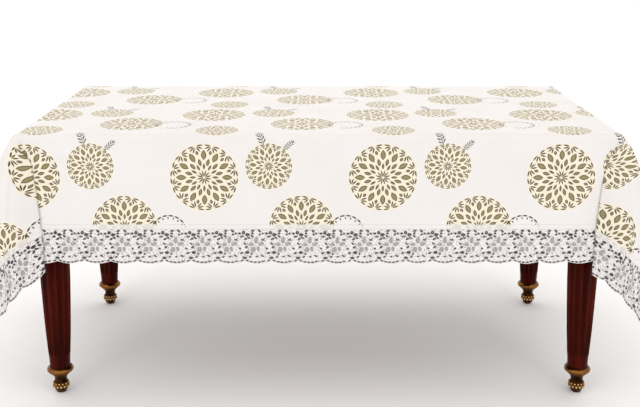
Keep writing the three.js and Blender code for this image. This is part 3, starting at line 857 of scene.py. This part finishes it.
# The holes of one repeat, in millimetres: place from its left and from the hem, width, height, turn. Each is
# cut smaller than this and ringed with painted shade.
LACE_HOLES = [
    (16.6, 86.5, 6.4, 8.0, 30), (27.5, 81.0, 10.7, 6.4, 0), (12.0, 75.5, 8.0, 3.5, 10),
    (22.2, 69.0, 7.5, 3.7, 30), (31.0, 72.5, 7.0, 3.4, -35), (41.4, 84.5, 4.0, 4.0, 0),
    (42.8, 91.5, 7.5, 4.0, 15), (61.5, 91.0, 8.0, 4.3, -40), (41.0, 76.5, 7.0, 3.6, -40),
    (5.6, 84.2, 4.6, 4.2, 0), (62.5, 81.5, 3.6, 3.6, 0), (70.6, 84.0, 3.4, 3.4, 0),
    (20.0, 56.0, 7.5, 3.2, -30), (24.0, 46.0, 7.0, 4.2, 35), (70.5, 67.0, 7.0, 2.8, -12),
    (10.5, 30.0, 7.0, 3.5, 20), (26.5, 31.5, 9.1, 6.4, 0), (39.0, 28.0, 3.7, 3.7, 0),
    (6.0, 42.5, 3.2, 3.2, 0), (69.0, 22.0, 8.0, 2.9, -35), (34.5, 19.5, 5.9, 2.6, 30),
    (53.0, 20.0, 4.5, 2.8, 0), (18.7, 16.5, 9.6, 5.3, 0), (11.0, 8.9, 6.4, 2.5, 25),
    (26.5, 8.9, 6.4, 2.5, -25), (37.4, 5.6, 6.4, 2.3, -10), (48.7, 4.3, 6.4, 2.3, 0),
    (60.4, 4.5, 6.4, 2.3, 5), (71.0, 6.8, 5.6, 2.3, 15),
]
# The flower's petals: turn, length and width.
LACE_PETALS = [(84, 24, 16), (16, 25, 15), (166, 26, 15), (-48, 26, 17), (-122, 24, 18)]
# The small sheer leaves round it: place, length, width and turn.
LACE_LEAVES = [
    (12.0, 64.0, 13, 6.0, 60), (10.5, 52.0, 12, 5.5, -50), (30.5, 62.5, 8, 3.6, 20),
    (66.0, 72.5, 11, 5.0, 35), (53.5, 83.5, 11, 5.0, -20), (34.0, 90.0, 9, 4.0, -10),
    (7.0, 92.0, 9, 4.0, -20), (71.5, 93.0, 7, 3.6, 20), (17.5, 40.0, 11, 5.0, 10),
    (70.0, 40.0, 12, 5.5, -60), (66.0, 31.0, 11, 5.0, 15), (33.0, 12.0, 9, 3.8, -30),
    (44.5, 12.0, 10, 4.2, -5), (57.5, 11.5, 10, 4.2, 8), (69.0, 13.5, 8, 3.6, 25),
    (4.8, 18.0, 8, 3.8, 70), (46.0, 21.0, 8, 3.4, 15),
]


def turned(x, y, dx, dy, turn):
    """Points (dx, dy) turned by an angle in degrees and moved to (x, y)."""
    c, s = math.cos(math.radians(turn)), math.sin(math.radians(turn))
    return np.stack([x + c * dx - s * dy, y + s * dx + c * dy], 1)


def lens(x, y, wide, high, turn, count=8, grow=0.0):
    """A leaf-shaped outline, pointed at both ends."""
    a = np.linspace(0, 2 * np.pi, count, endpoint=False)
    dx = (wide / 2 + 1.4 * grow) * np.cos(a)
    dy = (high / 2 + grow) * np.sin(a) * np.abs(np.sin(a)) ** 0.5
    return turned(x, y, dx, dy, turn)


def petal(turn, length, wide, grow=0.0, count=14):
    """A pointed petal that leaves the flower's middle."""
    s = np.linspace(0, 1, count // 2 + 1)
    half = wide / 2 * np.sin(np.pi * s**0.85) + grow * 0.9
    along = PETAL_FROM + s * length + grow * (2 * s - 1)
    along, half = np.append(along, along[::-1]), np.append(half, -half[::-1])
    return turned(*FLOWER, along, half, turn)


def scallop_edge(x):
    return SCALLOP * (1 - np.abs(np.cos(np.pi * (x - SCALLOP_AT) / TILE)))


def inside(outline, x, y):
    """Which points are inside a closed outline."""
    found = np.zeros(x.shape, bool)
    for (ax, ay), (bx, by) in zip(outline, np.roll(outline, -1, 0)):
        crosses = (ay > y) != (by > y)
        with np.errstate(divide="ignore", invalid="ignore"):
            at = (bx - ax) * (y - ay) / (by - ay) + ax
        found ^= crosses & (x < at)
    return found


def distance_to(outline, x, y):
    """Distance from each point to a closed outline."""
    best = np.full(x.shape, 1e9)
    for (ax, ay), (bx, by) in zip(outline, np.roll(outline, -1, 0)):
        dx, dy = bx - ax, by - ay
        s = np.clip(((x - ax) * dx + (y - ay) * dy) / max(dx * dx + dy * dy, 1e-12), 0, 1)
        best = np.minimum(best, np.hypot(x - ax - s * dx, y - ay - s * dy))
    return best


def tile_outline():
    """The outline of one repeat: the scalloped hem, the right side, the top and the left side."""
    side = np.arange(0, DEEP + 0.1, 3.5) / DEEP
    bottom = np.linspace(0, TILE, 37)
    low = scallop_edge(bottom)
    left = np.stack([np.zeros_like(side), low[0] + side * (DEEP - low[0])], 1)
    top = np.linspace(0, TILE, 22)
    return np.concatenate(
        [
            np.stack([bottom, low], 1),
            np.stack([np.full_like(side[1:], TILE), left[1:, 1]], 1),
            np.stack([top[-2::-1], np.full_like(top[1:], DEEP)], 1),
            left[-2:0:-1],
        ]
    )


def cut_hole(hole):
    """The open part of a hole's painted shade mark, smaller than the mark itself."""
    narrow = min(hole[2:4])
    return lens(*hole, grow=-(0.30 + 0.02 * narrow) * narrow)


def loose_points():
    """Points spread over the tile, a little off a grid."""
    grid = np.meshgrid(np.arange(3, TILE - 1, MESH_STEP), np.arange(9, DEEP - 1, MESH_STEP))
    x, y = (c.ravel() for c in grid)
    rng = np.random.default_rng(4)
    x = x + rng.uniform(-MESH_SHIFT, MESH_SHIFT, x.shape)
    y = y + rng.uniform(-MESH_SHIFT, MESH_SHIFT, y.shape)
    return [Vector(map(float, p)) for p in zip(x, y)]


def mesh_between(outline, loops, holes):
    """The tile's points and triangles, with edges along the loops that lie wholly inside the outline."""
    points, edges = [], []
    for loop in [outline, *loops]:
        keep = np.ones(len(loop), bool)
        if loop is not outline:
            keep = (loop[:, 0] > 0.4) & (loop[:, 0] < TILE - 0.4) & (loop[:, 1] < DEEP - 0.4)
            keep &= loop[:, 1] > scallop_edge(loop[:, 0]) + 0.4
        first, count = len(points), len(loop)
        points.extend(Vector(map(float, p)) for p in loop[keep])
        if keep.all():
            edges.extend((first + i, first + (i + 1) % count) for i in range(count))
    made, _, triangles, *_ = delaunay_2d_cdt(points + loose_points(), edges, [], 1, 1e-4)
    made = np.array([tuple(p) for p in made])
    triangles = np.array([tuple(t) for t in triangles])
    middle = made[triangles].mean(1).T
    solid = inside(outline, *middle)
    for hole in holes:
        solid &= ~inside(hole, *middle)
    return made, triangles[solid]


def lace_tile():
    """One repeat of the lace: its points and triangles, and each point's relief and tone, in metres."""
    # each hole's mark of painted shade, a little larger than the listed hole
    shade_marks = [lens(*hole, grow=0.8) for hole in LACE_HOLES]
    rims = [lens(*hole, grow=1.6) for hole in LACE_HOLES]
    holes = [cut_hole(hole) for hole in LACE_HOLES]
    sheers = [petal(*shape) for shape in LACE_PETALS]
    sheers += [lens(*shape, grow=0.7) for shape in LACE_LEAVES]
    cords = [petal(*shape, grow=g) for shape in LACE_PETALS for g in (0.9, -0.9)]
    cords += [lens(*shape, count=6, grow=-0.3) for shape in LACE_LEAVES]
    a = np.linspace(0, 2 * np.pi, 12, endpoint=False)
    heart = turned(*FLOWER, HEART_R * np.cos(a), HEART_R * np.sin(a), 0)
    loops = [*holes, *shade_marks, *rims, *sheers, *cords, heart]
    made, triangles = mesh_between(tile_outline(), loops, holes)
    x, y = made.T
    rim = np.min([distance_to(mark, x, y) for mark in shade_marks], axis=0)
    in_shade_mark = np.any([inside(mark, x, y) for mark in shade_marks], axis=0)
    cord = np.min([distance_to(sheer, x, y) for sheer in sheers], axis=0)
    sheer = np.any([inside(sheer, x, y) for sheer in sheers], axis=0)
    hem = y - scallop_edge(x)
    # how far the cords stand out: round the cut holes, round the petals and leaves, and at the hem
    relief = np.where(in_shade_mark, 0, 0.6 * smooth(1 - np.abs(rim - 0.8) / 0.9))
    relief = relief + 0.75 * smooth(1 - cord)
    relief = relief + 0.4 * smooth(1 - np.abs(hem - 0.8) / 1.4)
    # how white: low in the sheer fills and the net, 1 on the cords, below zero on the painted shade round
    # the cut holes
    tone = np.where(sheer, 0.12, 0.34)
    tone = np.maximum(tone, smooth(1.35 - cord / 0.8))
    tone = np.maximum(tone, smooth(1.3 - rim))
    tone = np.maximum(tone, smooth(1.2 - hem / 2.2))
    tone = np.where(in_shade_mark | (rim < 0.05), -1.0, tone)
    return made / 1000, triangles, relief / 1000, tone


def halves(along_u, inward=0.0):
    """Half the length of a side's line, and how far out it lies; inward moves it off the hem."""
    half_u, half_v = HALF_U - inward, HALF_V - inward
    return (half_u, half_v) if along_u else (half_v, half_u)


def mitre(at, half):
    """How far a strip's point moves along its side for each metre of height, to form the mitre."""
    return np.sign(at) * np.clip((np.abs(at) - (half - MITRE_RUN)) / MITRE_RUN, 0, 1)


def laid(along_u, run, out):
    """Places along and across a side as flat cloth coordinates."""
    return np.stack([run, out] if along_u else [out, run], 1)


def lace_side(name, tile, count, along_u, sign, material):
    """One side's lace: repeats of the tile with mitred ends, draped with the cloth."""
    (place, height), triangles, relief, tone = tile[0].T, *tile[1:]
    half, other = halves(along_u)
    all_flat, all_faces = [], []
    for i in range(count):
        run = -half + i * 2 * half / count + place * (2 * half / count) / (TILE / 1000)
        run = run - height * mitre(run, half)
        all_flat.append(laid(along_u, run, sign * (other - height)))
        all_faces.append(triangles + i * len(place))
    flat = np.concatenate(all_flat)
    first, faces = welded(flat, np.concatenate(all_faces).tolist(), 2e6)
    relief, tone = np.tile(relief, count)[first], np.tile(tone, count)[first]
    piece = draped_piece(name + "_trim", flat[first], faces, relief, material, tone)
    thicken(piece, thickness=0.0007, offset=-0.4)
    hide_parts(name)
    return piece


# ---------------------------------------------------------------- the hem band

# The band's section near its edges: how far from the edge, and how far it stands out.
ROLL = [(0.0, 0.0), (0.0008, 0.0010), (0.003, 0.0013)]
BAND_LOW, BAND_HIGH = -0.2 * TAPE_WIDTH, 0.8 * TAPE_WIDTH  # either side of the lace's joint
BAND_MIDDLE_RISE = 0.0009
BAND_GAP = 0.0003  # how far the band's edges lie above the cloth
FINE_END = 0.4  # the band's points are close together this near its ends
STITCH_IN = 0.003  # the rows of stitches from the band's edges
STITCH_PITCH, STITCH_LENGTH, STITCH_WIDTH, STITCH_RISE = 0.0036, 0.0027, 0.0007, 0.0006
STITCH_FOOT = 0.0017  # how far the stitches' feet lie above the cloth
ROW_SHORT = 0.02  # a row stops this far from the panel's corner


def tape_side(name, along_u, sign, materials):
    """The folded hem band over the lace's joint, with rolled edges and two rows of stitches."""
    half, other = halves(along_u, LACE_WIDTH)
    profile = [(BAND_LOW + d, rise) for d, rise in ROLL]
    profile.append(((BAND_LOW + BAND_HIGH) / 2, BAND_MIDDLE_RISE))
    profile += [(BAND_HIGH - d, rise) for d, rise in reversed(ROLL)]
    near_end = np.linspace(-half, -half + FINE_END, 240)
    between = np.linspace(-half + FINE_END, half - FINE_END, 160)[1:-1]
    fine = np.concatenate([near_end, between, -near_end[::-1]])
    flat, lifts = [], []
    for up, rise in profile:
        run = fine - up * mitre(fine, half)
        flat.append(laid(along_u, run, np.full_like(run, sign * (other - up))))
        lifts.append(np.full_like(run, rise + BAND_GAP))
    faces = grid_faces(len(profile), len(fine))
    flat, lifts = np.concatenate(flat), np.concatenate(lifts)
    piece = draped_piece(name + "_band", flat, faces, lifts, materials["band"])
    thicken(piece, thickness=0.0005, offset=-0.5)
    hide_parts(name)
    return piece, stitch_rows(name + "_stitches", along_u, sign, materials["thread"])


def stitch_rows(name, along_u, sign, material):
    """Two rows of small raised stitches along the band."""
    half, other = halves(along_u, LACE_WIDTH)
    count = int(2 * (half - ROW_SHORT) / STITCH_PITCH)
    along, across, rise = np.array([(-0.5, 0, 0), (0, -0.5, 0), (0.5, 0, 0), (0, 0.5, 0), (0, 0, 1)]).T
    flat, lifts, faces = [], [], []
    for up in (BAND_LOW + STITCH_IN, BAND_HIGH - STITCH_IN):
        for at in (np.arange(count) - (count - 1) / 2) * STITCH_PITCH:
            first = len(flat) * len(along)
            run = at + along * STITCH_LENGTH - up * mitre(at, half)
            flat.append(laid(along_u, run, sign * (other - up) + across * STITCH_WIDTH))
            lifts.append(STITCH_FOOT + rise * STITCH_RISE)
            faces.extend([first + i, first + (i + 1) % 4, first + 4] for i in range(4))
    flat, lifts = np.concatenate(flat), np.concatenate(lifts)
    return draped_piece(name, flat, faces, lifts, material)


# ---------------------------------------------------------------- legs and brass feet

SHAFT_FOOT = 0.0786
BLOCK_HEIGHT = 0.120
BLOCK_BEVEL = 0.0025
FLUTES = 12
FLUTE_DEPTH = 0.0045
FLUTE_WIDE = 0.86  # the share of its pitch that a flute takes
FLUTE_LOW, FLUTE_HIGH, FLUTE_END = 0.034, 0.488, 0.010  # its ends above the shaft's foot, and their rounding
# The shaft's radius by height, both in metres, from its foot to the square block.
SHAFT_LINE = [
    (0.0, 0.0275), (0.024, 0.0287), (0.032, 0.0293), (0.044, 0.0303), (0.105, 0.0341),
    (0.173, 0.0371), (0.251, 0.0399), (0.366, 0.0415), (0.481, 0.0405), (0.500, 0.0400),
    (0.506, 0.0378), (0.512, 0.0415), (0.5231, 0.0415),
]
# The foot's radius and height, from its tip to its neck.
FOOT_LINE = [
    (0.0105, 0.0), (0.0125, 0.0006), (0.0142, 0.0030), (0.0150, 0.0062), (0.0158, 0.0068),
    (0.0172, 0.0100), (0.0186, 0.0125), (0.0200, 0.0150), (0.0200, 0.0290), (0.0192, 0.0312),
    (0.0178, 0.0328), (0.0168, 0.0345), (0.0165, 0.0380), (0.0166, 0.0415), (0.0176, 0.0455),
    (0.0196, 0.0495), (0.0226, 0.0530), (0.0262, 0.0556), (0.0270, 0.0568),
]
BEADS = 14
# The rows of beads: turn in beads, distance from the axis, height, and half sizes out, round and up.
BEAD_ROWS = [
    (0.0, 0.0193, 0.0192, (0.0042, 0.0049, 0.0058)),
    (0.5, 0.0190, 0.0272, (0.0034, 0.0040, 0.0042)),
]
COLLAR_ROUND = 0.0078  # the radius of the collar's bulge
COLLAR_NECK = 0.0255  # its radius where it meets the shaft and the foot
CORNERS = ["front_left", "front_right", "back_right", "back_left"]


def plan_of(node):
    """A node's middle in plan, half its width, and its lowest and highest z."""
    low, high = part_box(node)
    return ((low.x + high.x) / 2, (low.y + high.y) / 2), (high.x - low.x) / 2, low.z, high.z


def turned_rings(profile, middle, sides):
    """A closed round piece: its points and faces. A ring's radius may vary round it."""
    turn = np.arange(sides) * 2 * np.pi / sides
    rings = [np.stack([r * np.cos(turn), r * np.sin(turn), np.full(sides, z)], 1) for r, z in profile]
    return np.concatenate(rings) + np.array([*middle, 0]), shell_faces(len(rings), sides)


def block_points(middle, half, low, high):
    """A square block with small bevels, as four rings of eight points."""
    b = BLOCK_BEVEL
    side = [(b - half, -half), (half - b, -half)]
    plan = []
    for _ in range(4):
        plan += side
        side = [(-y, x) for x, y in side]
    shrink = 1 - b / half
    levels = [(shrink, low), (1, low + b), (1, high - b), (shrink, high)]
    return [(middle[0] + x * s, middle[1] + y * s, z) for s, z in levels for x, y in plan]


def leg_piece(corner, material):
    """A fluted leg: flutes with rounded ends under a turned neck and a square block."""
    middle, half, _, high = plan_of("leg_" + corner)
    line_z, line_r = (np.array(c) for c in zip(*SHAFT_LINE))
    flute_ends = [np.linspace(0.030, 0.062, 14), np.linspace(0.455, 0.492, 14)]
    heights = np.unique(np.concatenate([np.linspace(0, line_z[-1], 70), line_z, *flute_ends]))
    sides = FLUTES * 12
    turn = np.arange(sides) * 2 * np.pi / sides
    wave = np.abs(((turn / (2 * np.pi) * FLUTES + 0.5) % 1) - 0.5) * 2
    profile, tones = [], []
    for z in heights:
        # a flute's end is round: near it only the middle of the flute is cut
        room = min(z - FLUTE_LOW, FLUTE_HIGH - z) / FLUTE_END
        narrow = math.sqrt(max(0.0, 1 - max(0.0, 1 - room) ** 2)) if room > 0 else 0.0
        cut = np.sqrt(np.maximum(0, 1 - (wave / (FLUTE_WIDE * max(narrow, 1e-3))) ** 2)) * narrow
        profile.append((np.interp(z, line_z, line_r) - FLUTE_DEPTH * cut, SHAFT_FOOT + z))
        # the tone is lower towards the foot, and painted shade darkens the flutes' hollows
        lightness = 0.6 + 0.4 * smooth((z - 0.02) / 0.2)
        tones.append(lightness * (1 - 0.5 * cut))
    shaft, faces = turned_rings(profile, middle, sides)
    block = np.array(block_points(middle, half, high - BLOCK_HEIGHT, high))
    faces += shell_faces(4, 8, len(shaft))
    tone = np.concatenate([*tones, np.full(len(block), 0.8)])
    points = np.concatenate([shaft, block])
    piece = mesh_piece("fluted_leg_" + corner, points, faces, "table", material, tone=tone)
    piece.data.set_sharp_from_angle(angle=math.radians(38))
    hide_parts("leg_" + corner)
    return piece


def arc_line(centre_r, centre_z, radius, start, end, count):
    """An arc of a profile, between two angles in degrees."""
    a = np.radians(np.linspace(start, end, count))
    return [(centre_r + radius * math.cos(t), centre_z + radius * math.sin(t)) for t in a]


def collar_piece(corner, material):
    """The plain round collar between the shaft and the foot."""
    middle, radius, low, high = plan_of("brass_collar_" + corner)
    profile = [(COLLAR_NECK, low + 0.0002), (0.0275, low + 0.001), (radius - 0.0062, low + 0.0035)]
    profile += arc_line(radius - COLLAR_ROUND, low + 0.0112, COLLAR_ROUND, -65, 78, 13)
    profile += [(0.0300, high - 0.0022), (0.0290, high - 0.0006), (COLLAR_NECK, high - 0.0002)]
    points, faces = turned_rings(profile, middle, 64)
    out = np.hypot(points[:, 0] - middle[0], points[:, 1] - middle[1])
    # the tone is higher out on the bulge than at the necks, and lower towards the collar's bottom
    upper = smooth((points[:, 2] - low) / (0.6 * (high - low)))
    tone = smooth((out - 0.026) / 0.009) * (0.6 + 0.4 * upper)
    name = "turned_collar_" + corner
    piece = mesh_piece(name, points, faces, "table", material, tone=tone)
    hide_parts("brass_collar_" + corner)
    return piece


def bead(middle, turn, r, z, size, first):
    """One bright bead of the foot's rings: its points, faces and tones."""
    steps, sides = 6, 10
    points, tones = [], []
    c, s = math.cos(turn), math.sin(turn)
    for j in range(steps):
        a = math.pi * (j + 0.5) / steps
        for i in range(sides):
            b = 2 * math.pi * i / sides
            out = r + size[0] * math.cos(a)
            side = size[1] * math.sin(a) * math.cos(b)
            up = size[2] * math.sin(a) * math.sin(b)
            points.append((middle[0] + out * c - side * s, middle[1] + out * s + side * c, z + up))
            # lightest at the bead's outer tip: rubbed brass, with a painted highlight where the tone passes
            # one
            tones.append(0.45 + 0.75 * max(0.0, math.cos(a)))
    faces = [face[::-1] for face in shell_faces(steps, sides, first)]
    return points, faces, tones


def foot_piece(corner, material):
    """The brass foot: a tapered tip, two rings of beads and a waisted neck."""
    middle = plan_of("brass_foot_" + corner)[0]
    points, faces = turned_rings(FOOT_LINE, middle, 48)
    z = points[:, 2]
    tone = 0.1 + 0.35 * smooth((z - 0.046) / 0.01) + 0.25 * smooth((0.012 - z) / 0.006)
    points, tone = points.tolist(), tone.tolist()
    for i in range(BEADS):
        for shift, out, level, size in BEAD_ROWS:
            turn = 2 * math.pi * (i + shift) / BEADS
            more, shell, tones = bead(middle, turn, out, level, size, len(points))
            points += more
            faces += shell
            tone += tones
    name = "beaded_foot_" + corner
    piece = mesh_piece(name, points, faces, "table", material, tone=tone)
    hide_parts("brass_foot_" + corner)
    return piece


# ---------------------------------------------------------------- the studio

WALL_LIGHT, CEILING_LIGHT = 1.42, 1.18  # the surround's light near the floor's level and overhead
SIDE_LIGHT = 0.68  # the share of it that is left straight to the left and right
WALL_COLOUR, CEILING_COLOUR = (1.0, 1.0, 0.99, 1), (1.0, 0.945, 0.905, 1)
FLOOR_COLOUR = (0.955, 0.97, 0.985, 1)
FLOOR_HALF = 60.0
LAMP_COLOUR = (1.0, 0.93, 0.88)
# The lamps: name, place, where it points, size and power.
LAMPS = [
    ("overhead", (-0.3, 0.6, 2.3), (0, 0, 0.7), 1.0, 1.5),
    ("front_left", (-2.2, -3.4, 2.3), (-0.2, 0, 0.5), 0.9, 12),
    ("front_right", (1.9, -2.9, 2.1), (0.5, -0.4, 0.65), 0.5, 7),
]
CAMERA_PLACE = (0.0035, -3.018, 1.284)
CAMERA_DOWN = 11.835  # degrees below the horizontal
LENS, SENSOR, SHIFT_UP = 57.45, 36.0, -0.1


def surround():
    """A soft near-white surround, warmer and dimmer overhead and dimmer to the sides."""
    world = bpy.data.worlds.new("studio")
    world.use_nodes = True
    shade = Shade(world.node_tree)
    x, _, z = shade.split(shade.node("TexCoord"))
    strength = shade.ramp(z, 0.05, 0.8, WALL_LIGHT, CEILING_LIGHT)
    strength = shade.times(strength, shade.ramp(shade.size(x), 0.35, 0.95, 1.0, SIDE_LIGHT))
    colour = shade.mix(shade.ramp(z, 0.1, 0.7), WALL_COLOUR, CEILING_COLOUR)
    background = world.node_tree.nodes["Background"]
    shade.feed(background.inputs[0], colour)
    shade.feed(background.inputs[1], strength)
    return world


def pale_floor():
    size = FLOOR_HALF
    mesh = bpy.data.meshes.new("floor")
    corners = [(-size, -size, 0), (size, -size, 0), (size, size, 0), (-size, size, 0)]
    mesh.from_pydata(corners, [], [(0, 1, 2, 3)])
    material, _, shader = new_material("pale_floor", Roughness=0.9)
    shader.inputs["Base Color"].default_value = FLOOR_COLOUR
    mesh.materials.append(material)
    return bpy.data.objects.new("floor", mesh)


def lamp(name, place, aim, size, watts):
    data = bpy.data.lights.new(name, "AREA")
    data.shape = "SQUARE"
    data.size = size
    data.energy = watts
    data.color = LAMP_COLOUR
    made = bpy.data.objects.new(name, data)
    made.location = place
    made.rotation_euler = (Vector(aim) - Vector(place)).to_track_quat("-Z", "Y").to_euler()
    return made


def studio():
    """The surround, a pale floor, three soft lamps and the camera."""
    scene = bpy.context.scene
    scene.view_settings.view_transform = "Standard"
    scene.world = surround()
    floor = pale_floor()
    scene.collection.objects.link(floor)
    for settings in LAMPS:
        scene.collection.objects.link(lamp(*settings))
    data = bpy.data.cameras.new("camera")
    data.sensor_width = SENSOR
    data.lens = LENS
    data.shift_y = SHIFT_UP
    camera = bpy.data.objects.new("camera", data)
    camera.location = CAMERA_PLACE
    camera.rotation_euler = (math.radians(90 - CAMERA_DOWN), 0, 0)
    scene.collection.objects.link(camera)
    scene.camera = camera


# ---------------------------------------------------------------- the whole

# The cloth's sides: name, whether it runs along u, which way it faces, and its lace repeats.
SIDES = [("front", True, -1, 32), ("right", False, 1, 21), ("back", True, 1, 32), ("left", False, -1, 21)]


def build():
    groups = {"medallion": medallion_group(), "garland": garland_group(), "sprig": sprig_group()}
    materials = {
        "oilcloth": oilcloth_material(groups, "printed_vinyl", "e3e2e2", 1.0),
        "band": oilcloth_material(groups, "hem_vinyl", "e4e3e3", 0.2),
        "underside": underside_material(),
        "lace": lace_material(),
        "mahogany": wood_material("mahogany", "2a0502", "6e1a08"),
        "turned": wood_material("turned_mahogany", "260301", "5f1504", painted_shade=True),
        "under_wood": wood_material("under_wood", "8a6742", "b28d60"),
        "brass": brass_material(),
        "steel": steel_material(),
        "thread": thread_material(),
    }
    cloth = printed_cloth(materials)
    tile = lace_tile()
    trims, bands, stitches = [], [], []
    for side, along_u, sign, count in SIDES:
        trims.append(lace_side("lace_" + side, tile, count, along_u, sign, materials["lace"]))
        band, rows = tape_side("hem_tape_" + side, along_u, sign, materials)
        bands.append(band)
        stitches.append(rows)
    for corner in CORNERS:
        leg_piece(corner, materials["turned"])
        collar_piece(corner, materials["brass"])
        foot_piece(corner, materials["brass"])
    mahogany = ["table_top"] + ["apron_" + side for side in ("front", "back", "left", "right")]
    dress_nodes(materials["mahogany"], mahogany)
    dress_nodes(materials["under_wood"], ["corner_block_" + c for c in CORNERS])
    steel = [kind + c for kind in ("hanger_bolt_", "bolt_nut_") for c in CORNERS]
    steel += ["top_screw_" + c + "_" + n for c in CORNERS for n in "12"]
    dress_nodes(materials["steel"], steel)
    studio()


build()
